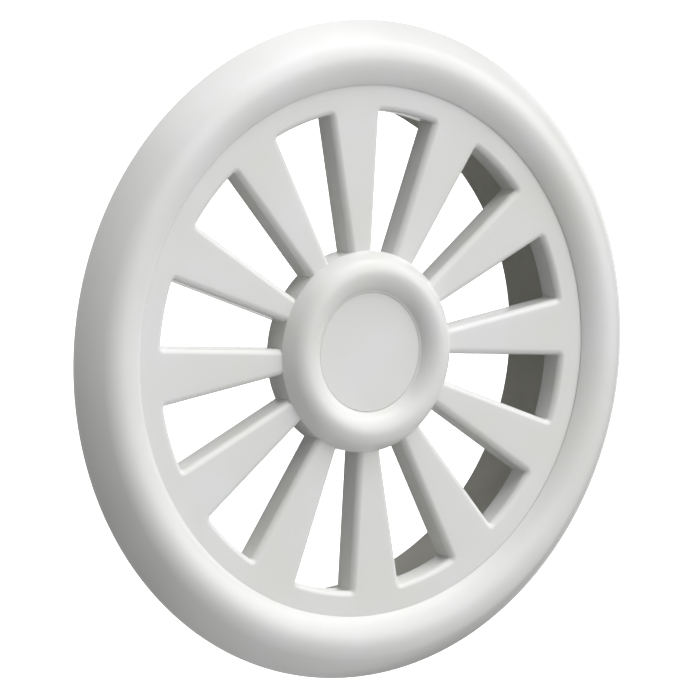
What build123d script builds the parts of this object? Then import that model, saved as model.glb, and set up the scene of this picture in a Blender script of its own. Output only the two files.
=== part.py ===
from build123d import *
import os
from math import acos, asin, cos, degrees, radians, sin, sqrt

os.makedirs("parts", exist_ok=True)

# A round air diffuser in four layers: a mounting frame whose collar enters the duct, a spoked
# grille that turns and locks in the collar, a trim ring clipped on the grille, and a hub.
# All sizes in mm. The axis is Y: y = 0 is the ceiling or wall, -y the room and +y the duct.

# Duct and mounting frame
duct_r = 50.0  # bore of the duct that the collar enters
duct_gap = 0.7  # round the collar
collar_wall = 1.5
collar_end = 16.8  # depth of the collar behind the ceiling
collar_lead = 0.8  # chamfer at the collar's end
frame_plate = 1.7  # thickness of the frame's flange
gasket_t = 0.8  # foam between the flange and the ceiling
gasket_edge = 0.3  # set in from the flange's edge
ceiling_screws = 4
ceiling_screw_r = 1.6
ceiling_sink_r = 2.4
seal_y = 11.5  # middle of the duct seal's groove
seal_w = 3.0
seal_groove = 0.6
seal_gap = 0.05  # between the seal and the duct's bore
seal_corner = 0.4

# Grille
turn_gap = 0.1  # between the grille's plug and the collar
slide_gap = 0.2  # between the grille's flange and the frame's
plug_land = 2.3  # from the slots' outer ends to the plug's outside
web_land = 4.7  # from the slots' outer ends to the trim ring
grille_plate = 1.0  # thickness of the grille's flange
web_t = 5.2  # depth of the spokes
spokes = 12
spoke_root_w = 4.93  # at the hub
spoke_tip_w = 11.06  # at the slots' outer ends
slot_corner = 0.4
slot_edge = 1.2  # rounding of the slots' front edges

# Bayonet
lugs = 3
lug_w = 8.0  # degrees
lug_h = 1.2  # along the axis
lug_play = 0.15  # all round a lug in its slot
turn = 20.0  # degrees from locked to free
stop_play = 0.5  # degrees

# Trim ring
rim_outer_w = 7.35  # from the crest to the outside
crest_h = 5.98  # the crest above the ceiling
crest_inner_round = 6.6  # radius from the crest in to the web
crest_outer_round = 5.3  # radius from the crest out to the flank
crest_turn = 42.0  # degrees, slope at which the flank starts
rim_gap = 0.2  # under the ring's back edge
shell = 1.6
seat_gap = 0.4  # round the grille's flange
clips = 6
clip_w = 12.0  # degrees
clip_lip = 0.5  # reach of a clip behind the grille's flange
clip_play = 0.05
clip_back_h = 1.2  # a clip's back end above the ceiling
clip_root = 0.4  # how far a clip's back end runs into the ring's wall, at the wall's foot

# Hub
hub_r = 19.07
hub_outer_w = 3.9  # from the crest to the outside
hub_crest_h = 3.22  # above the web
hub_inner_round = 4.1  # radius from the crest in to the recess
hub_outer_round = 3.3  # radius from the crest out to the flank
hub_turn = 50.0  # degrees, slope at which the flank starts
recess_h = 1.18  # the recess's floor above the web
dish_round = 0.6  # hollow radius round the recess's floor
cap_gap = 0.05
stem_r = 8.0  # hole for the cap's stem
stem_wall = 1.5
stem_slots = 3
stem_slot_w = 2.4
stem_short = 0.6  # the stem's end in front of the hub's back
hub_screws_n = 3
hub_screw_r = 1.1
hub_head_r = 2.0
hub_head_h = 1.4
hub_bore_h = 2.0  # depth of the holes that the heads sit in
hub_skin = 0.8  # left in front of the screws
drive_w = 0.5
drive_span = 2.6
drive_depth = 0.7


def flank(centre, radius, turn, end):
    """End of the arc over a crest, then the centre and radius of the arc from there to a point."""
    inward = Vector(-sin(radians(turn)), cos(radians(turn)))
    start = centre - inward * radius
    reach = end - start
    carry = reach.length**2 / (2 * reach.dot(inward))
    return start, start + inward * carry, carry


# Positions that follow from the sizes above
collar_r = duct_r - duct_gap
collar_bore = collar_r - collar_wall
plate_y = -gasket_t - frame_plate
grille_back = plate_y - slide_gap
web_y = grille_back - grille_plate
web_back = web_y + web_t
plug_r = collar_bore - turn_gap
slot_r = plug_r - plug_land
web_r = slot_r + web_land
crest_y = -crest_h
crease_drop = crest_inner_round + crest_y - web_y
crest_r = web_r + sqrt(crest_inner_round**2 - crease_drop**2)
crest_inner = Vector(crest_r, crest_y + crest_inner_round)
crest_outer = Vector(crest_r, crest_y + crest_outer_round)
rim_r = crest_r + rim_outer_w
rim_end = Vector(rim_r, -rim_gap)
flank_start, flank_centre, flank_round = flank(crest_outer, crest_outer_round, crest_turn, rim_end)
cavity_round = flank_round - shell
seat_turn = degrees(asin((web_y - flank_centre.Y) / cavity_round))
foot_turn = degrees(asin((-rim_gap - flank_centre.Y) / cavity_round))
seat_r = flank_centre.X + cavity_round * cos(radians(seat_turn))
foot_r = flank_centre.X + cavity_round * cos(radians(foot_turn))
grille_r = seat_r - seat_gap
lip_r = grille_r - clip_lip
frame_r = lip_r - slide_gap
ceiling_screw_ring = (collar_r + frame_r) / 2
hub_crest_r = hub_r - hub_outer_w
hub_crest_y = web_y - hub_crest_h
hub_inner = Vector(hub_crest_r, hub_crest_y + hub_inner_round)
hub_outer = Vector(hub_crest_r, hub_crest_y + hub_outer_round)
hub_flank_start = flank(hub_outer, hub_outer_round, hub_turn, Vector(hub_r, web_y))[0]
recess_y = web_y - recess_h
dish_rise = hub_inner.Y - (recess_y - dish_round)
recess_r = hub_crest_r - sqrt((hub_inner_round + dish_round) ** 2 - dish_rise**2)
dish_turn = degrees(acos(dish_rise / (hub_inner_round + dish_round)))
cut = 1.0  # how far a cutting shape runs past what it cuts

room_axis = Axis((0, 0, 0), (0, -1, 0))
lug_angles = [90 + 360 / lugs * i for i in range(lugs)]
clip_angles = [360 / clips * i for i in range(clips)]
spoke_taper = (spoke_tip_w - spoke_root_w) / 2 / (slot_r - hub_r)
spoke_start_w = spoke_root_w / 2 - spoke_taper * hub_r


def section(angle):
    """The plane (radius, y) at an angle about the axis, seen from the room and counted from +X."""
    return Plane.XY.rotated((0, -angle, 0))


def slot_corner_at(r):
    """The corner of the slot round +X where the side of the next spoke meets a circle."""
    a = 1 + spoke_taper**2
    b = spoke_start_w * spoke_taper
    along = (sqrt(b**2 - a * (spoke_start_w**2 - r**2)) - b) / a
    across = spoke_start_w + spoke_taper * along
    half = radians(180 / spokes)
    return (along * cos(half) + across * sin(half), along * sin(half) - across * cos(half))


# Mounting frame: a flange against the ceiling and a collar into the duct, one moulding
with BuildPart() as mounting_frame:
    with BuildSketch(Plane.XY):
        with BuildLine():
            Polyline(
                (collar_bore, plate_y),
                (frame_r, plate_y),
                (frame_r, -gasket_t),
                (collar_r, -gasket_t),
                (collar_r, collar_end - collar_lead),
                (collar_r - collar_lead, collar_end),
                (collar_bore, collar_end),
                close=True,
            )
        make_face()
    revolve(axis=Axis.Y)
    # the groove that holds the duct seal
    with BuildSketch(Plane.XY):
        with Locations((collar_r, seal_y)):
            Rectangle(2 * seal_groove, seal_w)
    revolve(axis=Axis.Y, mode=Mode.SUBTRACT)
    # bayonet slots: the way in from the front, then the way round to the stop
    for angle in lug_angles:
        with BuildSketch(section(angle - lug_w / 2 - stop_play)):
            with Locations((collar_bore, web_back + lug_play)):
                Rectangle(2 * collar_wall + cut, lug_h + 2 * lug_play, align=(Align.CENTER, Align.MAX))
        revolve(axis=room_axis, revolution_arc=lug_w + turn + 2 * stop_play, mode=Mode.SUBTRACT)
        with BuildSketch(section(angle + turn - lug_w / 2 - stop_play)):
            with Locations((collar_bore, web_back + lug_play)):
                Rectangle(
                    2 * (collar_wall + lug_play),
                    web_back + lug_play - plate_y + cut,
                    align=(Align.CENTER, Align.MAX),
                )
        revolve(axis=room_axis, revolution_arc=lug_w + 2 * stop_play, mode=Mode.SUBTRACT)
    with Locations(Plane.XZ.offset(-plate_y)):
        with PolarLocations(ceiling_screw_ring, ceiling_screws, start_angle=45):
            CounterSinkHole(ceiling_screw_r, ceiling_sink_r, depth=frame_plate + cut)
mounting_frame.part.label = "mounting_frame"
export_step(mounting_frame.part, "parts/mounting_frame.step")

# Foam gasket behind the flange
with BuildPart() as ceiling_gasket:
    with BuildSketch(Plane.XZ):
        Circle(frame_r - gasket_edge)
        Circle(collar_r + gasket_edge, mode=Mode.SUBTRACT)
        with PolarLocations(ceiling_screw_ring, ceiling_screws, start_angle=45):
            Circle(ceiling_screw_r, mode=Mode.SUBTRACT)
    extrude(amount=gasket_t)
ceiling_gasket.part.label = "ceiling_gasket"
export_step(ceiling_gasket.part, "parts/ceiling_gasket.step")

# Rubber ring in the collar's groove, with rounded outer corners that lead into the duct
with BuildPart() as duct_seal:
    with BuildSketch(Plane.XY) as seal_section:
        with Locations((collar_r - seal_groove, seal_y)):
            Rectangle(seal_groove + duct_gap - seal_gap, seal_w, align=(Align.MIN, Align.CENTER))
        fillet(seal_section.vertices().sort_by(Axis.X)[-2:], seal_corner)
    revolve(axis=Axis.Y)
duct_seal.part.label = "duct_seal"
export_step(duct_seal.part, "parts/duct_seal.step")

# One slot's outline, round +X
slot_start_r = hub_r - 3 * slot_edge
inner = slot_corner_at(slot_start_r)
outer = slot_corner_at(slot_r)
with BuildSketch() as one_slot:
    with BuildLine():
        ThreePointArc((inner[0], -inner[1]), (slot_start_r, 0), inner)
        Line(inner, outer)
        ThreePointArc(outer, (slot_r, 0), (outer[0], -outer[1]))
        Line((outer[0], -outer[1]), (inner[0], -inner[1]))
    make_face()
    fillet(one_slot.vertices().sort_by(Axis.X)[-2:], slot_corner)

# Grille: flange, plug, spokes, hub boss and bayonet lugs, one moulding
with BuildPart() as grille:
    with BuildSketch(Plane.XY):
        with BuildLine():
            Polyline(
                (stem_r, web_y),
                (grille_r, web_y),
                (grille_r, grille_back),
                (plug_r, grille_back),
                (plug_r, web_back),
                (stem_r, web_back),
                close=True,
            )
        make_face()
    revolve(axis=Axis.Y)
    with BuildSketch(Plane.XZ.offset(-web_back - cut)):
        with PolarLocations(0, spokes, start_angle=180 / spokes):
            add(one_slot.sketch)
    extrude(amount=web_t + 2 * cut, mode=Mode.SUBTRACT)
    # round the front edges of the slots, not the flange's edge or the hole for the stem
    front = grille.faces().sort_by(Axis.Y)[0]
    rounded = [edge for wire in front.inner_wires() for edge in wire.edges() if len(wire.edges()) > 1]
    fillet(rounded, slot_edge)
    # the hub boss fills the slots' inner ends
    with BuildSketch(Plane.XZ.offset(-web_back)):
        Circle(hub_r)
        Circle(stem_r, mode=Mode.SUBTRACT)
    extrude(amount=web_t)
    for angle in lug_angles:
        with BuildSketch(section(angle - lug_w / 2)):
            with Locations((plug_r, web_back)):
                Rectangle(2 * (collar_wall - turn_gap), lug_h, align=(Align.CENTER, Align.MAX))
        revolve(axis=room_axis, revolution_arc=lug_w)
    # holes for the hub screws and their heads, from the back
    with BuildSketch(Plane.XZ.offset(-web_back)):
        with PolarLocations(hub_crest_r, hub_screws_n, start_angle=30):
            Circle(hub_screw_r)
    extrude(amount=web_t, mode=Mode.SUBTRACT)
    with BuildSketch(Plane.XZ.offset(-web_back)):
        with PolarLocations(hub_crest_r, hub_screws_n, start_angle=30):
            Circle(hub_head_r + turn_gap)
    extrude(amount=hub_bore_h, mode=Mode.SUBTRACT)
grille.part.label = "grille"
export_step(grille.part, "parts/grille.step")

# Trim ring: a hollow rounded ring that sits on the grille's flange and clips behind it
crease_turn = degrees(acos(crease_drop / crest_inner_round))
clip_back = -clip_back_h
with BuildPart() as trim_ring:
    with BuildSketch(Plane.XY):
        with BuildLine():
            CenterArc(crest_inner, crest_inner_round, 270 - crease_turn, crease_turn)
            CenterArc(crest_outer, crest_outer_round, 270, crest_turn)
            TangentArc(
                flank_start,
                rim_end,
                tangent=(cos(radians(crest_turn)), sin(radians(crest_turn))),
            )
            Line(rim_end, (foot_r, -rim_gap))
            CenterArc(flank_centre, cavity_round, foot_turn, seat_turn - foot_turn)
            Line((seat_r, web_y), (web_r, web_y))
        make_face()
    revolve(axis=Axis.Y)
    for angle in clip_angles:
        with BuildSketch(section(angle - clip_w / 2)):
            with BuildLine():
                Polyline(
                    (grille_r + clip_play, web_y - clip_play),
                    (seat_r + shell / 2, web_y - clip_play),
                    (foot_r + clip_root, clip_back),
                    (lip_r, clip_back),
                    (lip_r, grille_back + clip_play),
                    (grille_r + clip_play, grille_back + clip_play),
                    close=True,
                )
            make_face()
        revolve(axis=room_axis, revolution_arc=clip_w)
trim_ring.part.label = "trim_ring"
export_step(trim_ring.part, "parts/trim_ring.step")

# Hub ring on the boss, with holes from the back for its screws
with BuildPart() as hub_ring:
    with BuildSketch(Plane.XY):
        with BuildLine():
            Line((recess_r, web_y), (recess_r, recess_y))
            CenterArc((recess_r, recess_y - dish_round), dish_round, 90 - dish_turn, dish_turn)
            CenterArc(hub_inner, hub_inner_round, 270 - dish_turn, dish_turn)
            CenterArc(hub_outer, hub_outer_round, 270, hub_turn)
            TangentArc(
                hub_flank_start,
                (hub_r, web_y),
                tangent=(cos(radians(hub_turn)), sin(radians(hub_turn))),
            )
            Line((hub_r, web_y), (recess_r, web_y))
        make_face()
    revolve(axis=Axis.Y)
    with BuildSketch(Plane.XZ.offset(-web_y)):
        with PolarLocations(hub_crest_r, hub_screws_n, start_angle=30):
            Circle(hub_screw_r)
    extrude(amount=hub_crest_h - hub_skin, mode=Mode.SUBTRACT)
hub_ring.part.label = "hub_ring"
export_step(hub_ring.part, "parts/hub_ring.step")

# Screws that hold the hub ring from behind, each with a cross in its head
head_seat = web_back - hub_bore_h
with BuildPart() as hub_screws:
    with BuildSketch(Plane.XZ.offset(-head_seat)):
        with PolarLocations(hub_crest_r, hub_screws_n, start_angle=30):
            Circle(hub_screw_r)
    extrude(amount=head_seat - hub_crest_y - hub_skin)
    with BuildSketch(Plane.XZ.offset(-head_seat)):
        with PolarLocations(hub_crest_r, hub_screws_n, start_angle=30):
            Circle(hub_head_r)
    extrude(amount=-hub_head_h)
    with BuildSketch(Plane.XZ.offset(-head_seat - hub_head_h)):
        with PolarLocations(hub_crest_r, hub_screws_n, start_angle=30):
            Rectangle(drive_span, drive_w)
            Rectangle(drive_w, drive_span)
    extrude(amount=drive_depth, mode=Mode.SUBTRACT)
hub_screws.part.label = "hub_screws"
export_step(hub_screws.part, "parts/hub_screws.step")

# Hub cap: the disc in the recess, with a split stem pressed into the boss
with BuildPart() as hub_cap:
    with BuildSketch(Plane.XZ.offset(-web_y)):
        Circle(recess_r - cap_gap)
    extrude(amount=recess_h)
    with BuildSketch(Plane.XZ.offset(-web_y)):
        Circle(stem_r - cap_gap)
        Circle(stem_r - cap_gap - stem_wall, mode=Mode.SUBTRACT)
        with PolarLocations(stem_r, stem_slots, start_angle=90):
            Rectangle(2 * (stem_wall + cut), stem_slot_w, mode=Mode.SUBTRACT)
    extrude(amount=-web_t + stem_short)
hub_cap.part.label = "hub_cap"
export_step(hub_cap.part, "parts/hub_cap.step")
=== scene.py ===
from math import atan2, cos, degrees, pi, radians, sin, sqrt

import bmesh
import bpy
from mathutils import Matrix, Vector


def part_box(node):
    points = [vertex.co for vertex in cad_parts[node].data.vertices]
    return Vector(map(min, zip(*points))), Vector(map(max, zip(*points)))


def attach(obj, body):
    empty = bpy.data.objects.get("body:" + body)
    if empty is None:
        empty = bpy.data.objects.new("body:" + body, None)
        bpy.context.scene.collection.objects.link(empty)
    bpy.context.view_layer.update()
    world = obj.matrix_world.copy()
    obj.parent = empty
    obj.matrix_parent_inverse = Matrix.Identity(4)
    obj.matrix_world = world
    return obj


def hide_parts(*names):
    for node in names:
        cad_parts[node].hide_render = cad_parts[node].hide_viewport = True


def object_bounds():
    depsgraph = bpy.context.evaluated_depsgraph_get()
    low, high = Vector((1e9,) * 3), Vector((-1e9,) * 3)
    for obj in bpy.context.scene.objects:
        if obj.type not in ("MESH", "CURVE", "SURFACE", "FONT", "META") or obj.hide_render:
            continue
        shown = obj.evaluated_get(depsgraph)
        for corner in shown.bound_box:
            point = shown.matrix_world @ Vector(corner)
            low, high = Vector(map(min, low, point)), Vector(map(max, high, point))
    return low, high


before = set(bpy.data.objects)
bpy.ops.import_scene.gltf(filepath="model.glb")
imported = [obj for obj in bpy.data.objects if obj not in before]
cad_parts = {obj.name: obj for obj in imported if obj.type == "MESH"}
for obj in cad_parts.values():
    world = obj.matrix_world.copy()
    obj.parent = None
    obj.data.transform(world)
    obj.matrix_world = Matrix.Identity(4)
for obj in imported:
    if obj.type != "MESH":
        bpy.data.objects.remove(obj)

cad_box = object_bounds()

# ---------------------------------------------------------------------------
# Grille. One injection moulding in white ABS: a flat web with twelve tapered
# spokes round a hub boss, and behind it the plug with three bayonet lugs that
# turns into the collar. The slots' front edges are rounded by the tool.

MM = 0.001
TURN = 2 * pi

grille_low, grille_high = (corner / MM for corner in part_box("grille"))
WEB_FRONT = grille_low.y
WEB_BACK = grille_high.y
FLANGE_R = grille_high.x
FLANGE_T = 1.0
PLUG_R = 47.7
PLUG_CHAMFER = 0.3
FLANGE_EDGE = 0.2
SEAM_R = 50.1  # where the trim ring's inner foot stands on the web
WEB_LOOP_R = 48.4  # a ring of points on the flat face, between the slots and the seam
SLOT_R = 45.4
HUB_R = 19.07
STEM_HOLE_R = 8.0
SPOKES = 12
SPOKE_ROOT_W = 4.93
SPOKE_TIP_W = 11.06
SLOT_CORNER = 0.4
SLOT_EDGE = 1.2  # rounding of the slots' front edges
BACK_EDGE = 0.2
BACK_BULGE = 0.3  # where the rounding's middle lies, as a share of BACK_EDGE
LUGS = 3
LUG_W = radians(8)
LUG_T = 1.2
LUG_REACH = 1.4
LUG_ROOT = 0.6  # how far a lug is rooted in the plug
LUG_EDGE = 0.25
LUG_SHY = 0.02  # how far its back stays off the plug's back face
HUB_SCREWS = 3
FIRST_HUB_SCREW = radians(30)
HUB_SCREW_RING = 15.17
HUB_SCREW_R = 1.1
HEAD_BORE_R = 2.1
HEAD_BORE_DEPTH = 2.0
OVERCUT = 1.0  # how far a cutter passes the surface that it cuts
FOOT_STEPS = 8  # steps of a slot's arc round the hub
SHARP_ANGLE = radians(38)  # an edge that turns further than this stays sharp
WELD = 0.0005  # points closer together than this become one

half_pitch = pi / SPOKES
taper = (SPOKE_TIP_W - SPOKE_ROOT_W) / 2 / (SLOT_R - HUB_R)
start_w = SPOKE_ROOT_W / 2 - taper * HUB_R
slope = sqrt(1 + taper**2)
hub_screw_angles = [FIRST_HUB_SCREW + TURN * i / HUB_SCREWS for i in range(HUB_SCREWS)]


def side_point(r, grown):
    """Where the side of the next spoke meets a circle, when the slot has grown by that much."""
    offset = start_w - grown * slope
    lean = offset * taper
    along = (sqrt(lean**2 - slope**2 * (offset**2 - r**2)) - lean) / slope**2
    across = offset + taper * along
    return Vector(
        (
            along * cos(half_pitch) + across * sin(half_pitch),
            along * sin(half_pitch) - across * cos(half_pitch),
        )
    )


def slot_half(grown, side_steps=14, corner_steps=5, arc_steps=9):
    """Half of a slot's outline round +X, from the hub to the middle of its outer end, and the
    place in it where the outer end starts."""
    centre = side_point(SLOT_R - SLOT_CORNER, -SLOT_CORNER)
    towards_spoke = atan2(
        cos(half_pitch) + taper * sin(half_pitch), taper * cos(half_pitch) - sin(half_pitch)
    )
    outward = atan2(centre.y, centre.x)
    points = []
    radius = SLOT_CORNER + grown
    start = side_point(HUB_R, grown)
    tangent = centre + radius * Vector((cos(towards_spoke), sin(towards_spoke)))
    for i in range(side_steps):
        points.append(start.lerp(tangent, i / side_steps))
    for i in range(corner_steps):
        angle = towards_spoke + (outward - towards_spoke) * i / corner_steps
        points.append(centre + radius * Vector((cos(angle), sin(angle))))
    for i in range(arc_steps + 1):
        angle = outward * (1 - i / arc_steps)
        points.append((SLOT_R + grown) * Vector((cos(angle), sin(angle))))
    return points, side_steps + corner_steps


def place(point, angle, y):
    """A point of an outline round +X, turned about the axis and set at a depth."""
    return Vector(
        (
            point.x * cos(angle) - point.y * sin(angle),
            y,
            point.x * sin(angle) + point.y * cos(angle),
        )
    )


def mirrored(point):
    """A point of an outline round +X, moved to the outline's other half."""
    return Vector((point.x, -point.y))


def slot_foot(half):
    """A slot's inner end, an arc round the hub from one side of the slot to the other."""
    hub_angle = atan2(half[0].y, half[0].x)
    turns = [hub_angle * (2 * j / FOOT_STEPS - 1) for j in range(FOOT_STEPS + 1)]
    return [HUB_R * Vector((cos(turn), sin(turn))) for turn in turns]


def on_ring(radius, angle):
    """The (x, z) of a point on a circle round the axis."""
    return radius * cos(angle), radius * sin(angle)


def quads(mesh, rows, closed=False):
    """Faces between rows of as many points each."""
    made = [[mesh.verts.new(p) for p in row] for row in rows]
    steps = len(rows[0]) if closed else len(rows[0]) - 1
    for row, next_row in zip(made, made[1:]):
        for i in range(steps):
            j = (i + 1) % len(row)
            mesh.faces.new((row[i], row[j], next_row[j], next_row[i]))


def smooth_but_corners(mesh):
    """Shades a mesh smooth, except over its sharp edges."""
    for face in mesh.faces:
        face.smooth = True
    for edge in mesh.edges:
        edge.smooth = len(edge.link_faces) == 2 and edge.calc_face_angle() < SHARP_ANGLE


def finished(name, mesh, weighted=True):
    """Welds a mesh, makes it smooth except at its corners, and links it as an object in metres."""
    bmesh.ops.remove_doubles(mesh, verts=mesh.verts, dist=WELD)
    bmesh.ops.recalc_face_normals(mesh, faces=mesh.faces)
    smooth_but_corners(mesh)
    bmesh.ops.scale(mesh, vec=(MM, MM, MM), verts=mesh.verts)
    data = bpy.data.meshes.new(name)
    mesh.to_mesh(data)
    mesh.free()
    piece = bpy.data.objects.new(name, data)
    bpy.context.scene.collection.objects.link(piece)
    if weighted:
        normals = piece.modifiers.new("flat faces stay flat", "WEIGHTED_NORMAL")
        normals.keep_sharp = True
    return piece


def slot_edge_profile():
    """(growth of the slot, depth) from the front face over the rounded edge to the back."""
    steps = 7
    profile = []
    for i in range(steps + 1):
        turn = pi / 2 * i / steps
        profile.append((SLOT_EDGE * (1 - sin(turn)), WEB_FRONT + SLOT_EDGE * (1 - cos(turn))))
    profile.append((0.0, WEB_BACK - BACK_EDGE))
    profile.append((BACK_EDGE * BACK_BULGE, WEB_BACK - BACK_EDGE * BACK_BULGE))
    profile.append((BACK_EDGE, WEB_BACK))
    return profile


def web_boundaries(grown, y, across_steps=6):
    """One face of the web: its outer and inner outlines, and its spokes between them."""
    half, last = slot_half(grown)
    outer, inner, strips = [], [], []
    for k in range(SPOKES):
        angle = half_pitch * (2 * k + 1)
        next_angle = angle + 2 * half_pitch
        slot_arc = [mirrored(p) for p in half[last:]] + half[last:-1][::-1]
        outer += [place(p, angle, y) for p in slot_arc]
        rows = []
        for p in half[: last + 1]:
            side = place(p, angle, y)
            far_side = place(mirrored(p), next_angle, y)
            rows.append([side.lerp(far_side, j / across_steps) for j in range(across_steps + 1)])
        strips.append(rows)
        outer += rows[-1][1:-1]
        inner += [place(p, angle, y) for p in slot_foot(half)]
        inner += rows[0][1:-1]
    return outer, inner, strips


def at_radius(loop, r, y):
    """A loop's points moved along their radii to a circle."""
    moved = []
    for p in loop:
        angle = atan2(p.z, p.x)
        moved.append(Vector((r * cos(angle), y, r * sin(angle))))
    return moved


def cut_away(piece, cutter):
    """Cuts one object out of another, as a drill or a core would, and removes the cutter."""
    tool = piece.modifiers.new("cut", "BOOLEAN")
    tool.operation = "DIFFERENCE"
    tool.solver = "EXACT"
    tool.object = cutter
    bpy.context.view_layer.update()
    graph = bpy.context.evaluated_depsgraph_get()
    cut_mesh = bpy.data.meshes.new_from_object(piece.evaluated_get(graph))
    piece.modifiers.remove(tool)
    piece.data = cut_mesh
    bpy.data.objects.remove(cutter)
    mesh = bmesh.new()
    mesh.from_mesh(cut_mesh)
    smooth_but_corners(mesh)
    mesh.to_mesh(cut_mesh)
    mesh.free()


def turned(mesh, profile, steps=288, start=0.0, sweep=TURN, closed_profile=True):
    """A profile of (radius, y) turned about the axis, all round or over part of a turn."""
    whole = sweep == TURN
    count = steps if whole else steps + 1
    loop = profile + profile[:1] if closed_profile else profile
    rows = []
    for r, y in loop:
        row = []
        for i in range(count):
            angle = start + sweep * i / steps
            row.append(Vector((r * cos(angle), y, r * sin(angle))))
        rows.append(row)
    quads(mesh, rows, closed=whole)
    if not whole:
        for i in (0, -1):
            mesh.faces.new([mesh.verts.new(row[i]) for row in rows[:-1]])


def circle(centre, radius, y, steps):
    """Points on a circle round (x, z) at one depth."""
    points = []
    for i in range(steps):
        angle = TURN * i / steps
        points.append(Vector((centre[0] + radius * cos(angle), y, centre[1] + radius * sin(angle))))
    return points


def round_bar(mesh, centre, radius, y0, y1, steps=40):
    """A closed round bar in the axis's direction, centred on (x, z)."""
    rows = [circle(centre, radius, y, steps) for y in (y0, y1)]
    quads(mesh, rows, closed=True)
    for row in rows:
        mesh.faces.new([mesh.verts.new(p) for p in row])


mesh = bmesh.new()
edge_profile = slot_edge_profile()
front_outer, front_inner, front_strips = web_boundaries(*edge_profile[0])
back_outer, back_inner, back_strips = web_boundaries(*edge_profile[-1])
for rows in front_strips + back_strips:
    quads(mesh, rows)
flange_back = WEB_FRONT + FLANGE_T
rim_rows = [
    front_outer,
    at_radius(front_outer, WEB_LOOP_R, WEB_FRONT),
    at_radius(front_outer, SEAM_R, WEB_FRONT),
    at_radius(front_outer, FLANGE_R - FLANGE_EDGE, WEB_FRONT),
    at_radius(front_outer, FLANGE_R, WEB_FRONT + FLANGE_EDGE),
    at_radius(front_outer, FLANGE_R, flange_back),
    at_radius(front_outer, PLUG_R, flange_back),
    at_radius(front_outer, PLUG_R, WEB_BACK - PLUG_CHAMFER),
    at_radius(front_outer, PLUG_R - PLUG_CHAMFER, WEB_BACK),
    back_outer,
]
quads(mesh, rim_rows, closed=True)
boss_rows = [
    front_inner,
    at_radius(front_inner, STEM_HOLE_R, WEB_FRONT),
    at_radius(front_inner, STEM_HOLE_R, WEB_BACK - BACK_EDGE),
    at_radius(front_inner, STEM_HOLE_R + BACK_EDGE, WEB_BACK),
    back_inner,
]
quads(mesh, boss_rows, closed=True)
for k in range(SPOKES):
    angle = half_pitch * (2 * k + 1)
    walls = []
    for grown, y in edge_profile:
        half = slot_half(grown)[0]
        outline = half + [mirrored(p) for p in reversed(half[:-1])] + slot_foot(half)[1:-1]
        walls.append([place(p, angle, y) for p in outline])
    quads(mesh, walls, closed=True)
grille = finished("grille_moulding", mesh)

cutters = bmesh.new()
for angle in hub_screw_angles:
    centre = on_ring(HUB_SCREW_RING, angle)
    round_bar(cutters, centre, HEAD_BORE_R, WEB_BACK - HEAD_BORE_DEPTH, WEB_BACK + OVERCUT)
cut_away(grille, finished("head_bores", cutters, weighted=False))

lugs = bmesh.new()
lug_r = PLUG_R + LUG_REACH
lug = [
    (PLUG_R - LUG_ROOT, WEB_BACK - LUG_T),
    (lug_r - LUG_EDGE, WEB_BACK - LUG_T),
    (lug_r, WEB_BACK - LUG_T + LUG_EDGE),
    (lug_r, WEB_BACK - LUG_EDGE),
    (lug_r - LUG_EDGE, WEB_BACK - LUG_SHY),
    (PLUG_R - LUG_ROOT, WEB_BACK - LUG_SHY),
]
for i in range(LUGS):
    middle = pi / 2 + TURN * i / LUGS
    turned(lugs, lug, steps=10, start=middle - LUG_W / 2, sweep=LUG_W)
bayonet_lugs = finished("bayonet_lugs", lugs)


def from_hex(code):
    """An sRGB hex colour as linear values with alpha."""
    linear = []
    for i in (0, 2, 4):
        value = int(code[i : i + 2], 16) / 255
        linear.append(value / 12.92 if value <= 0.04045 else ((value + 0.055) / 1.055) ** 2.4)
    return (*linear, 1.0)


def add(tree, kind, inputs=(), **settings):
    """Adds a node, with its settings, and with each input set or linked."""
    made = tree.nodes.new(kind)
    for key, value in settings.items():
        setattr(made, key, value)
    for key, value in dict(inputs).items():
        if isinstance(value, bpy.types.NodeSocket):
            tree.links.new(value, made.inputs[key])
        else:
            made.inputs[key].default_value = value
    return made


def new_material(name):
    """A material of that name with an empty tree of nodes, and the tree."""
    material = bpy.data.materials.new(name)
    material.use_nodes = True
    material.node_tree.nodes.clear()
    return material, material.node_tree


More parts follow.
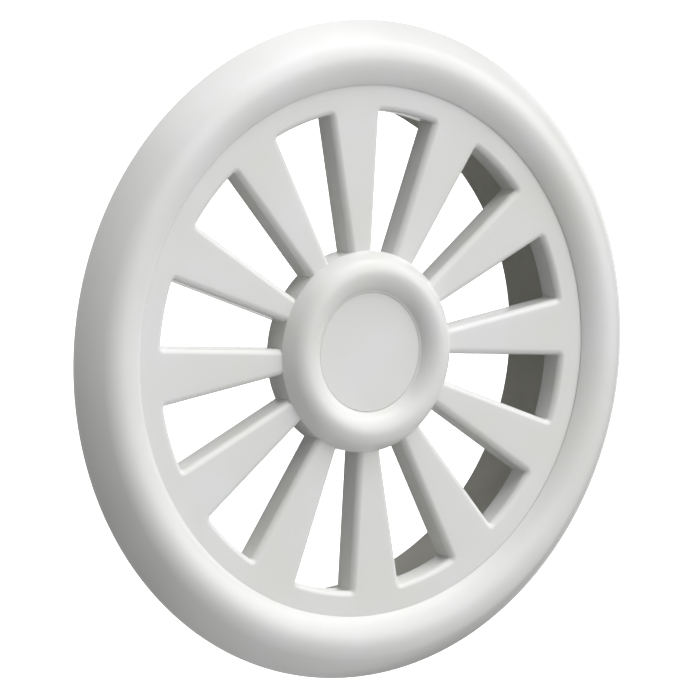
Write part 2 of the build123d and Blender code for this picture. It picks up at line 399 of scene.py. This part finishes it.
def polished_abs():
    """White ABS from a polished tool. The eye sees a soft gloss with a faint orange peel where
    the melt froze, and a barely warmer and cooler cloud in the white."""
    material, tree = new_material("abs_white_polished_tool")
    coords = add(tree, "ShaderNodeTexCoord").outputs["Object"]
    cloud = add(
        tree, "ShaderNodeTexNoise", {"Vector": coords, "Scale": 1 / (18 * MM), "Detail": 2.0}
    )
    tint = add(tree, "ShaderNodeValToRGB", {"Fac": cloud.outputs["Fac"]})
    tint.color_ramp.elements[0].position = 0.35
    tint.color_ramp.elements[0].color = from_hex("E9E9E6")
    tint.color_ramp.elements[1].position = 0.65
    tint.color_ramp.elements[1].color = from_hex("ECEDEC")
    peel = add(
        tree, "ShaderNodeTexNoise", {"Vector": coords, "Scale": 1 / (2.2 * MM), "Detail": 2.0}
    )
    haze = add(
        tree, "ShaderNodeTexNoise", {"Vector": coords, "Scale": 1 / (7 * MM), "Detail": 4.0}
    )
    gloss = add(
        tree,
        "ShaderNodeMapRange",
        {
            "Value": haze.outputs["Fac"],
            "From Min": 0.3,
            "From Max": 0.7,
            "To Min": 0.215,
            "To Max": 0.265,
        },
    )
    bump = add(
        tree,
        "ShaderNodeBump",
        {"Height": peel.outputs["Fac"], "Strength": 0.08, "Distance": 0.03 * MM},
    )
    shader = add(
        tree,
        "ShaderNodeBsdfPrincipled",
        {
            "Base Color": tint.outputs["Color"],
            "Roughness": gloss.outputs["Result"],
            "Normal": bump.outputs["Normal"],
            "IOR": 1.53,
        },
    )
    add(tree, "ShaderNodeOutputMaterial", {"Surface": shader.outputs["BSDF"]})
    return material


white_abs = polished_abs()


def fit(piece, material, body, slot, *nodes):
    """Gives a piece its material and its body, and hides the CAD nodes that it stands for. The slot
    is not used.
    """
    piece.data.materials.clear()
    piece.data.materials.append(material)
    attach(piece, body)
    if nodes:
        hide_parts(*nodes)


fit(grille, white_abs, "face", "face_plastic", "grille")
fit(bayonet_lugs, white_abs, "face", "face_plastic")

# ---------------------------------------------------------------------------
# Trim ring. A hollow, rounded ring moulded in the same white ABS, which sits
# on the web at its inner edge and clips behind the grille's flange with six
# hooks. It hides the frame and its screws.

trim_low, trim_high = (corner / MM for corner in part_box("trim_ring"))
RIM_R = trim_high.x
RIM_BACK = trim_high.y
CREST_INNER_ROUND = 6.6
CREST_OUTER_ROUND = 5.3
CREST_TURN = 42.0  # degrees from the crest to where the outer flank starts
SHELL = 1.6  # wall of the hollow ring
SEAT_R = 57.26  # inside of that wall, level with the web's front
RIM_EDGE = 0.1  # rounding of the back edge
SEAM_DEPTH = 0.4  # a hairline groove under the inner foot
SEAM_LIP = 0.14  # how far into it the foot's face reaches
SEAM_GAP = 0.12  # its width
CLIPS = 6
CLIP_W = radians(12)
CLIP_OUTER_R = RIM_R - 1.55
CLIP_END = -1.2
CLIP_HOLD = 0.5  # how far a clip reaches in behind the flange
CLIP_LEAD = 0.2  # chamfer of its nose
CLIP_PLAY = 0.05  # how far it stays off the flange


def arc(centre, radius, from_turn, to_turn, steps):
    """Points on an arc about (radius, y), with both ends; degrees, and 270 points to the room."""
    turns = [radians(from_turn + (to_turn - from_turn) * i / steps) for i in range(steps + 1)]
    return [(centre[0] + radius * cos(t), centre[1] + radius * sin(t)) for t in turns]


def flank(centre, radius, turn, end, steps):
    """The larger arc that carries on from a crest's arc, at a slope, to an end: its points, its
    centre and its radius."""
    slope_turn = radians(turn)
    start = (centre[0] + radius * sin(slope_turn), centre[1] - radius * cos(slope_turn))
    reach = (end[0] - start[0], end[1] - start[1])
    towards = cos(slope_turn) * reach[1] - sin(slope_turn) * reach[0]
    carry = (reach[0] ** 2 + reach[1] ** 2) / (2 * towards)
    middle = (start[0] - carry * sin(slope_turn), start[1] + carry * cos(slope_turn))
    end_turn = degrees(atan2(end[0] - middle[0], middle[1] - end[1]))
    return arc(middle, carry, 270 + turn, 270 + end_turn, steps), middle, carry


crest_drop = CREST_INNER_ROUND + trim_low.y - WEB_FRONT
crest_r = SEAM_R + sqrt(CREST_INNER_ROUND**2 - crest_drop**2)
crease_turn = degrees(atan2(crest_r - SEAM_R, crest_drop))
crest_inner = (crest_r, trim_low.y + CREST_INNER_ROUND)
crest_outer = (crest_r, trim_low.y + CREST_OUTER_ROUND)
outside, flank_centre, flank_round = flank(
    crest_outer, CREST_OUTER_ROUND, CREST_TURN, (RIM_R, RIM_BACK), 14
)
cavity_turns = []
for y in (RIM_BACK, WEB_FRONT):
    below = (flank_centre[1] - y) / (flank_round - SHELL)
    cavity_turns.append(270 + degrees(atan2(sqrt(1 - below**2), below)))
mesh = bmesh.new()
profile = [
    (SEAM_R + SEAM_DEPTH, WEB_FRONT),
    (SEAM_R + SEAM_DEPTH, WEB_FRONT - SEAM_GAP),
    (SEAM_R + SEAM_LIP, WEB_FRONT - SEAM_GAP),
]
profile += arc(crest_inner, CREST_INNER_ROUND, 270 - crease_turn, 270, 20)[1:]
profile += arc(crest_outer, CREST_OUTER_ROUND, 270, 270 + CREST_TURN, 16)[1:]
profile += outside[1:-1]
profile += [(RIM_R - RIM_EDGE / 5, RIM_BACK - RIM_EDGE), (RIM_R - RIM_EDGE, RIM_BACK)]
profile += arc(flank_centre, flank_round - SHELL, *cavity_turns, 8)
turned(mesh, profile, steps=360)
hook = [
    (FLANGE_R + CLIP_PLAY, WEB_FRONT - CLIP_PLAY),
    (SEAT_R + SHELL / 2, WEB_FRONT - CLIP_PLAY),
    (CLIP_OUTER_R, CLIP_END),
    (FLANGE_R - CLIP_HOLD + CLIP_LEAD, CLIP_END),
    (FLANGE_R - CLIP_HOLD, CLIP_END - CLIP_LEAD),
    (FLANGE_R - CLIP_HOLD, flange_back + CLIP_PLAY),
    (FLANGE_R + CLIP_PLAY, flange_back + CLIP_PLAY),
]
for i in range(CLIPS):
    turned(mesh, hook, steps=12, start=TURN * i / CLIPS - CLIP_W / 2, sweep=CLIP_W)
trim_ring = finished("trim_ring_moulding", mesh)
fit(trim_ring, white_abs, "face", "face_plastic", "trim_ring")

# ---------------------------------------------------------------------------
# Hub ring. A rounded ring in white ABS that stands on the boss where the
# spokes meet, drawn down by three screws from behind.

HUB_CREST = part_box("hub_ring")[0].y / MM
RECESS_R = 11.295
RECESS_Y = WEB_FRONT - 1.18
HUB_INNER_ROUND = 4.1
HUB_OUTER_ROUND = 3.3
HUB_TURN = 50.0  # degrees from the crest to where the outer flank starts
DISH_ROUND = 0.6  # fillet at the recess's foot

hub_inner = (HUB_SCREW_RING, HUB_CREST + HUB_INNER_ROUND)
hub_outer = (HUB_SCREW_RING, HUB_CREST + HUB_OUTER_ROUND)
dish_turn = degrees(atan2(HUB_SCREW_RING - RECESS_R, hub_inner[1] - RECESS_Y + DISH_ROUND))
mesh = bmesh.new()
profile = [(RECESS_R, WEB_FRONT)]
profile += arc((RECESS_R, RECESS_Y - DISH_ROUND), DISH_ROUND, 90, 90 - dish_turn, 6)
profile += arc(hub_inner, HUB_INNER_ROUND, 270 - dish_turn, 270, 16)[1:]
profile += arc(hub_outer, HUB_OUTER_ROUND, 270, 270 + HUB_TURN, 14)[1:]
profile += flank(hub_outer, HUB_OUTER_ROUND, HUB_TURN, (HUB_R, WEB_FRONT), 6)[0][1:]
turned(mesh, profile, steps=240)
hub_ring = finished("hub_ring_moulding", mesh)
fit(hub_ring, white_abs, "face", "face_plastic", "hub_ring")

# ---------------------------------------------------------------------------
# Hub cap. A flat disc in white ABS in the bottom of the hub's recess, with a
# split stem behind it pressed into the boss.

CAP_PLAY = 0.05
CAP_R = RECESS_R - CAP_PLAY
CAP_EDGE = 0.05
CAP_MARGIN = 3.0  # a ring of points on the disc, this far from its edge
STEM_R = 7.95
STEM_WALL = 1.5
STEM_LEAD = 0.3
STEM_ROOT = 0.1  # how far the legs are rooted in the disc
STEM_LEGS = 3
STEM_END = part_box("hub_cap")[1].y / MM
STEM_SLOT_W = 2.4

mesh = bmesh.new()
profile = [
    (0.0, RECESS_Y),
    (CAP_R - CAP_MARGIN, RECESS_Y),
    (CAP_R - CAP_EDGE, RECESS_Y),
    (CAP_R, RECESS_Y + CAP_EDGE),
    (CAP_R, WEB_FRONT),
    (0.0, WEB_FRONT),
]
turned(mesh, profile, steps=144, closed_profile=False)
slot_turn = 2 * atan2(STEM_SLOT_W / 2, STEM_R)
leg = [
    (STEM_R - STEM_WALL, WEB_FRONT - STEM_ROOT),
    (STEM_R, WEB_FRONT - STEM_ROOT),
    (STEM_R, STEM_END - STEM_LEAD),
    (STEM_R - STEM_LEAD, STEM_END),
    (STEM_R - STEM_WALL, STEM_END),
]
for i in range(STEM_LEGS):
    start = pi / 2 + TURN * i / STEM_LEGS + slot_turn / 2
    turned(mesh, leg, steps=24, start=start, sweep=TURN / STEM_LEGS - slot_turn)
hub_cap = finished("hub_cap_moulding", mesh)
fit(hub_cap, white_abs, "face", "face_plastic", "hub_cap")

# ---------------------------------------------------------------------------
# Hub screws. Three pan-head screws of zinc-plated steel in the boss's back,
# each with a pressed cross.

HEAD_R = 2.0
HEAD_SEAT = WEB_BACK - HEAD_BORE_DEPTH
HEAD_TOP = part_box("hub_screws")[1].y / MM
HEAD_ROUND = 0.5
HEAD_CURVE = ((1.0, 1.0), (0.93, 0.44), (0.78, 0.1), (0.6, 0.0))  # (of HEAD_R, of HEAD_ROUND)
SHANK = 5.0
CROSS_SPAN = 2.6
CROSS_W = 0.5
CROSS_DEPTH = 0.7


def zinc_plate():
    """Bright zinc plate on steel. The eye sees a pale, slightly blue metal with soft, uneven
    reflections from the barrel plating."""
    material, tree = new_material("steel_bright_zinc_plated")
    coords = add(tree, "ShaderNodeTexCoord").outputs["Object"]
    cloud = add(
        tree, "ShaderNodeTexNoise", {"Vector": coords, "Scale": 1 / (0.8 * MM), "Detail": 3.0}
    )
    tint = add(tree, "ShaderNodeValToRGB", {"Fac": cloud.outputs["Fac"]})
    tint.color_ramp.elements[0].color = from_hex("B4B7BA")
    tint.color_ramp.elements[1].color = from_hex("CDD0D3")
    rough = add(
        tree,
        "ShaderNodeMapRange",
        {"Value": cloud.outputs["Fac"], "To Min": 0.25, "To Max": 0.42},
    )
    shader = add(
        tree,
        "ShaderNodeBsdfPrincipled",
        {
            "Base Color": tint.outputs["Color"],
            "Roughness": rough.outputs["Result"],
            "Metallic": 1.0,
        },
    )
    add(tree, "ShaderNodeOutputMaterial", {"Surface": shader.outputs["BSDF"]})
    return material


def spindle(mesh, centre, profile, steps):
    """A profile of (radius, y) turned about a line through (x, z) in the axis's direction."""
    quads(mesh, [circle(centre, r, y, steps) for r, y in profile], closed=True)


mesh = bmesh.new()
profile = [
    (0.0, HEAD_SEAT - SHANK),
    (HUB_SCREW_R, HEAD_SEAT - SHANK),
    (HUB_SCREW_R, HEAD_SEAT),
    (HEAD_R, HEAD_SEAT),
]
profile += [(HEAD_R * out, HEAD_TOP - HEAD_ROUND * down) for out, down in HEAD_CURVE]
profile += [(0.0, HEAD_TOP)]
for angle in hub_screw_angles:
    spindle(mesh, on_ring(HUB_SCREW_RING, angle), profile, 32)
hub_screws = finished("hub_screws_turned", mesh)
for width, height in ((CROSS_SPAN, CROSS_W), (CROSS_W, CROSS_SPAN)):
    cutters = bmesh.new()
    for angle in hub_screw_angles:
        x, z = on_ring(HUB_SCREW_RING, angle)
        shift = Matrix.Translation((x, HEAD_TOP, z))
        size = Matrix.Diagonal((width, 2 * CROSS_DEPTH, height, 1))
        bmesh.ops.create_cube(cutters, size=1.0, matrix=shift @ size)
    cut_away(hub_screws, finished("cross_driver", cutters, weighted=False))
fit(hub_screws, zinc_plate(), "face", "screw_steel", "hub_screws")

# ---------------------------------------------------------------------------
# Mounting frame. A flange with four countersunk holes and a collar into the
# duct, one moulding in white ABS that keeps the matt, spark-eroded grain of
# its tool. Three slots in the collar take the grille's lugs.

frame_low, frame_high = (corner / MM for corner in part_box("mounting_frame"))
COLLAR_BORE_R = 47.8
COLLAR_R = 49.3
COLLAR_END = frame_high.y
COLLAR_LEAD = 0.8
PLATE_FRONT = frame_low.y
PLATE_T = 1.7
PLATE_R = frame_high.x
PLATE_EDGE = 0.15
BORE_EDGE = 0.2
SEAL_Y = 11.5
SEAL_W = 3.0
SEAL_DEPTH = 0.6
LUG_PLAY = 0.15
STOP_PLAY = radians(0.5)
UNLOCK = radians(20)
WAY_OVERLAP = 0.3  # how far the way in runs into the way round
SCREWS = 4
SCREW_RING = (COLLAR_R + PLATE_R) / 2
SCREW_R = 1.6
SINK_R = 2.4


def eroded_abs_painted_shade():
    """White ABS from a spark-eroded tool, with no mirror reflections and a fine even grain of about
    a third of a millimetre. Its base colour is painted shade: drawn greyer and warmer than the
    grille's white, so that the shadowed inside of the collar comes out dark."""
    material, tree = new_material("abs_spark_eroded_painted_shade")
    coords = add(tree, "ShaderNodeTexCoord").outputs["Object"]
    cloud = add(
        tree, "ShaderNodeTexNoise", {"Vector": coords, "Scale": 1 / (15 * MM), "Detail": 2.0}
    )
    tint = add(tree, "ShaderNodeValToRGB", {"Fac": cloud.outputs["Fac"]})
    # The greyer, warmer base colours below are painted shade for the shadowed inside of the collar.
    tint.color_ramp.elements[0].position = 0.3
    tint.color_ramp.elements[0].color = from_hex("C6C5BB")
    tint.color_ramp.elements[1].position = 0.7
    tint.color_ramp.elements[1].color = from_hex("CDCCC3")
    grain = add(
        tree, "ShaderNodeTexNoise", {"Vector": coords, "Scale": 1 / (0.33 * MM), "Detail": 3.0}
    )
    rough = add(
        tree,
        "ShaderNodeMapRange",
        {
            "Value": grain.outputs["Fac"],
            "From Min": 0.3,
            "From Max": 0.7,
            "To Min": 0.46,
            "To Max": 0.58,
        },
    )
    bump = add(
        tree,
        "ShaderNodeBump",
        {"Height": grain.outputs["Fac"], "Strength": 0.35, "Distance": 0.03 * MM},
    )
    shader = add(
        tree,
        "ShaderNodeBsdfPrincipled",
        {
            "Base Color": tint.outputs["Color"],
            "Roughness": rough.outputs["Result"],
            "Normal": bump.outputs["Normal"],
            "IOR": 1.53,
        },
    )
    add(tree, "ShaderNodeOutputMaterial", {"Surface": shader.outputs["BSDF"]})
    return material


def band(inner_r, outer_r, low, high):
    """The four corners of a rectangular profile of (radius, y)."""
    return [(inner_r, low), (outer_r, low), (outer_r, high), (inner_r, high)]


plate_back = PLATE_FRONT + PLATE_T
groove_low, groove_high = SEAL_Y - SEAL_W / 2, SEAL_Y + SEAL_W / 2
mesh = bmesh.new()
profile = [
    (COLLAR_BORE_R, PLATE_FRONT),
    (PLATE_R - PLATE_EDGE, PLATE_FRONT),
    (PLATE_R, PLATE_FRONT + PLATE_EDGE),
    (PLATE_R, plate_back),
    (COLLAR_R, plate_back),
    (COLLAR_R, groove_low),
    (COLLAR_R - SEAL_DEPTH, groove_low),
    (COLLAR_R - SEAL_DEPTH, groove_high),
    (COLLAR_R, groove_high),
    (COLLAR_R, COLLAR_END - COLLAR_LEAD),
    (COLLAR_R - COLLAR_LEAD, COLLAR_END),
    (COLLAR_BORE_R + BORE_EDGE, COLLAR_END),
    (COLLAR_BORE_R, COLLAR_END - BORE_EDGE),
]
turned(mesh, profile, steps=288)
mounting_frame = finished("mounting_frame_moulding", mesh)
slot_low, slot_high = WEB_BACK - LUG_T - LUG_PLAY, WEB_BACK + LUG_PLAY
slot_starts = [pi / 2 + TURN * i / LUGS - LUG_W / 2 - STOP_PLAY for i in range(LUGS)]
slot_w = LUG_W + 2 * STOP_PLAY
way_round = band(COLLAR_BORE_R - OVERCUT, COLLAR_R + OVERCUT / 2, slot_low, slot_high)
cutters = bmesh.new()
for start in slot_starts:
    turned(cutters, way_round, steps=20, start=start, sweep=slot_w + UNLOCK)
cut_away(mounting_frame, finished("slots_round", cutters, weighted=False))
way_in = band(
    COLLAR_BORE_R - OVERCUT, COLLAR_R + LUG_PLAY, PLATE_FRONT - OVERCUT, slot_low + WAY_OVERLAP
)
screw_hole = (
    (0.0, PLATE_FRONT - OVERCUT),
    (SINK_R + OVERCUT, PLATE_FRONT - OVERCUT),
    (SCREW_R, PLATE_FRONT + SINK_R - SCREW_R),
    (SCREW_R, plate_back + OVERCUT),
    (0.0, plate_back + OVERCUT),
)
screw_angles = [pi / 4 + TURN * i / SCREWS for i in range(SCREWS)]
cutters = bmesh.new()
for start in slot_starts:
    turned(cutters, way_in, steps=8, start=start + UNLOCK, sweep=slot_w)
for angle in screw_angles:
    spindle(cutters, on_ring(SCREW_RING, angle), screw_hole, 40)
cut_away(mounting_frame, finished("slots_in", cutters, weighted=False))
fit(mounting_frame, eroded_abs_painted_shade(), "frame", "frame_plastic", "mounting_frame")

# ---------------------------------------------------------------------------
# Ceiling gasket. A ring of dark closed-cell polyethylene foam, die-cut with
# four screw holes and stuck to the flange's back.

gasket_low, gasket_high = (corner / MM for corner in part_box("ceiling_gasket"))
GASKET_INNER_R = COLLAR_R + 0.3
GASKET_R = gasket_high.x
KNIFE_DRAW = 0.1  # how far the knife draws the foam's edges in
KNIFE_DEPTH = 0.15  # how deep that goes


def closed_cell_foam():
    """Cross-linked polyethylene foam, knife-cut. The eye sees a dark, dry grey with cells of
    just under half a millimetre."""
    material, tree = new_material("polyethylene_foam_die_cut")
    coords = add(tree, "ShaderNodeTexCoord").outputs["Object"]
    cells = add(tree, "ShaderNodeTexVoronoi", {"Vector": coords, "Scale": 1 / (0.45 * MM)})
    tint = add(tree, "ShaderNodeValToRGB", {"Fac": cells.outputs["Distance"]})
    tint.color_ramp.elements[0].color = from_hex("26262A")
    tint.color_ramp.elements[1].color = from_hex("4A4A4E")
    bump = add(
        tree,
        "ShaderNodeBump",
        {"Height": cells.outputs["Distance"], "Strength": 0.6, "Distance": 0.1 * MM},
    )
    shader = add(
        tree,
        "ShaderNodeBsdfPrincipled",
        {
            "Base Color": tint.outputs["Color"],
            "Roughness": 0.85,
            "Normal": bump.outputs["Normal"],
            "IOR": 1.5,
        },
    )
    add(tree, "ShaderNodeOutputMaterial", {"Surface": shader.outputs["BSDF"]})
    return material


mesh = bmesh.new()
profile = [
    (GASKET_INNER_R, gasket_low.y),
    (GASKET_R - KNIFE_DRAW, gasket_low.y),
    (GASKET_R, gasket_low.y + KNIFE_DEPTH),
    (GASKET_R, gasket_high.y - KNIFE_DEPTH),
    (GASKET_R - KNIFE_DRAW, gasket_high.y),
    (GASKET_INNER_R, gasket_high.y),
]
turned(mesh, profile, steps=240)
ceiling_gasket = finished("ceiling_gasket_foam", mesh)
cutters = bmesh.new()
for angle in screw_angles:
    centre = on_ring(SCREW_RING, angle)
    round_bar(cutters, centre, SCREW_R, gasket_low.y - OVERCUT, gasket_high.y + OVERCUT)
cut_away(ceiling_gasket, finished("screw_holes", cutters, weighted=False))
fit(ceiling_gasket, closed_cell_foam(), "frame", "foam", "ceiling_gasket")

# ---------------------------------------------------------------------------
# Duct seal. A moulded ring of black EPDM rubber, stretched into the collar's
# groove. It fills the small gap between the collar and the duct.

SEAL_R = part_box("duct_seal")[1].x / MM
SEAL_CORNER = 0.4


def epdm():
    """Moulded EPDM. The eye sees a matt black with a dusty grey bloom and a fine grain."""
    material, tree = new_material("epdm_black_moulded")
    coords = add(tree, "ShaderNodeTexCoord").outputs["Object"]
    bloom = add(
        tree, "ShaderNodeTexNoise", {"Vector": coords, "Scale": 1 / (4 * MM), "Detail": 4.0}
    )
    tint = add(tree, "ShaderNodeValToRGB", {"Fac": bloom.outputs["Fac"]})
    tint.color_ramp.elements[0].color = from_hex("18181A")
    tint.color_ramp.elements[1].color = from_hex("2E2E30")
    grain = add(
        tree, "ShaderNodeTexNoise", {"Vector": coords, "Scale": 1 / (0.2 * MM), "Detail": 2.0}
    )
    bump = add(
        tree,
        "ShaderNodeBump",
        {"Height": grain.outputs["Fac"], "Strength": 0.3, "Distance": 0.02 * MM},
    )
    shader = add(
        tree,
        "ShaderNodeBsdfPrincipled",
        {
            "Base Color": tint.outputs["Color"],
            "Roughness": 0.62,
            "Normal": bump.outputs["Normal"],
            "IOR": 1.5,
        },
    )
    add(tree, "ShaderNodeOutputMaterial", {"Surface": shader.outputs["BSDF"]})
    return material


mesh = bmesh.new()
profile = [(COLLAR_R - SEAL_DEPTH, groove_low)]
profile += arc((SEAL_R - SEAL_CORNER, groove_low + SEAL_CORNER), SEAL_CORNER, 270, 360, 5)
profile += arc((SEAL_R - SEAL_CORNER, groove_high - SEAL_CORNER), SEAL_CORNER, 0, 90, 5)
profile += [(COLLAR_R - SEAL_DEPTH, groove_high)]
turned(mesh, profile, steps=240)
duct_seal = finished("duct_seal_ring", mesh)
fit(duct_seal, epdm(), "frame", "rubber_seal", "duct_seal")

# ---------------------------------------------------------------------------
# Studio. A plain white floor well below the part, a dim even room with soft
# boxes round it, the brightest ones above and at the upper right, and a long
# lens. Places here are in metres; a box is (direction, half its width, glow).

FLOOR_DROP = 0.16
FLOOR_SIZE = 60.0
AMBIENT = 0.26
BEHIND = 0.15  # share of the ambient light that comes from behind
ROOM_FADE = 0.3  # sine of the angle over which it fades
BOX_EDGE = radians(8)
SOFT_BOXES = (
    ((0.55, -0.62, 0.52), radians(34), 2.05),
    ((0.10, -0.15, 0.97), radians(30), 1.6),
    ((0.25, -0.15, -0.95), radians(32), 0.7),
    ((-0.82, -0.49, 0.28), radians(28), 0.12),
    ((0.50, 0.85, 0.08), radians(30), 1.0),
)
SENSOR = 36.0  # millimetres, as the lens
LENS = 272.4
DISTANCE = 0.992
AZIMUTH = radians(-33.788)
ELEVATION = radians(7.259)
ROLL = radians(-2.388)
SLIDE_RIGHT = 0.0035
SLIDE_UP = -0.0007


def white_floor():
    """Matt white paper. The eye sees a plain white with no gloss, so it also glows a little; its
    fibres are far too fine to show, and are drawn as clouds of 25 mm."""
    material, tree = new_material("paper_matt_white")
    coords = add(tree, "ShaderNodeTexCoord").outputs["Object"]
    fibre = add(tree, "ShaderNodeTexNoise", {"Vector": coords, "Scale": 1 / (25 * MM)})
    tint = add(tree, "ShaderNodeValToRGB", {"Fac": fibre.outputs["Fac"]})
    tint.color_ramp.elements[0].color = from_hex("FDFDFD")
    tint.color_ramp.elements[1].color = from_hex("FFFFFF")
    shader = add(
        tree,
        "ShaderNodeBsdfPrincipled",
        {
            "Base Color": tint.outputs["Color"],
            "Roughness": 1.0,
            "Emission Color": from_hex("FFFFFF"),
            "Emission Strength": 1.0,
        },
    )
    add(tree, "ShaderNodeOutputMaterial", {"Surface": shader.outputs["BSDF"]})
    return material


mesh = bmesh.new()
bmesh.ops.create_grid(mesh, x_segments=4, y_segments=4, size=FLOOR_SIZE / 2)
floor_data = bpy.data.meshes.new("floor")
mesh.to_mesh(floor_data)
mesh.free()
floor = bpy.data.objects.new("floor", floor_data)
bpy.context.scene.collection.objects.link(floor)
floor.location.z = cad_box[0].z - FLOOR_DROP
floor.data.materials.append(white_floor())
floor.visible_diffuse = False
floor.visible_glossy = False

world = bpy.data.worlds.new("studio")
bpy.context.scene.world = world
world.use_nodes = True
sky = world.node_tree
sky.nodes.clear()
direction = add(sky, "ShaderNodeTexCoord").outputs["Generated"]
parts = add(sky, "ShaderNodeSeparateXYZ", {"Vector": direction})
light = add(
    sky,
    "ShaderNodeMapRange",
    {
        "Value": parts.outputs["Y"],
        "From Min": -ROOM_FADE,
        "From Max": ROOM_FADE,
        "To Min": AMBIENT,
        "To Max": AMBIENT * BEHIND,
    },
).outputs["Result"]
for towards, half_angle, glow in SOFT_BOXES:
    middle = Vector(towards).normalized()
    near = add(sky, "ShaderNodeVectorMath", {0: direction, 1: middle}, operation="DOT_PRODUCT")
    box = add(
        sky,
        "ShaderNodeMapRange",
        {
            "Value": near.outputs["Value"],
            "From Min": cos(half_angle + BOX_EDGE),
            "From Max": cos(half_angle - BOX_EDGE),
            "To Max": glow,
        },
        interpolation_type="SMOOTHSTEP",
    )
    both = add(sky, "ShaderNodeMath", {0: light, 1: box.outputs["Result"]}, operation="ADD")
    light = both.outputs["Value"]
seen = add(sky, "ShaderNodeLightPath")
strength = add(
    sky,
    "ShaderNodeMix",
    {0: seen.outputs["Is Camera Ray"], 2: light, 3: 1.0},
    data_type="FLOAT",
)
backdrop = add(
    sky,
    "ShaderNodeBackground",
    {"Color": from_hex("FFFFFF"), "Strength": strength.outputs[0]},
)
add(sky, "ShaderNodeOutputWorld", {"Surface": backdrop.outputs["Background"]})

target = Vector((0, WEB_FRONT * MM, 0))
back = Vector((sin(AZIMUTH) * cos(ELEVATION), -cos(AZIMUTH) * cos(ELEVATION), sin(ELEVATION)))
level_right = (-back).cross(Vector((0, 0, 1))).normalized()
level_up = level_right.cross(-back)
right = cos(ROLL) * level_right + sin(ROLL) * level_up
up = cos(ROLL) * level_up - sin(ROLL) * level_right
camera_data = bpy.data.cameras.new("camera")
camera_data.lens = LENS
camera_data.sensor_width = SENSOR
camera_data.clip_start = 0.01
camera_data.clip_end = 200.0
camera = bpy.data.objects.new("camera", camera_data)
camera.matrix_world = Matrix.Translation(
    target + DISTANCE * back - SLIDE_RIGHT * right - SLIDE_UP * up
) @ Matrix((right, up, back)).transposed().to_4x4()
bpy.context.scene.collection.objects.link(camera)
bpy.context.scene.camera = camera
bpy.context.scene.view_settings.view_transform = "Standard"
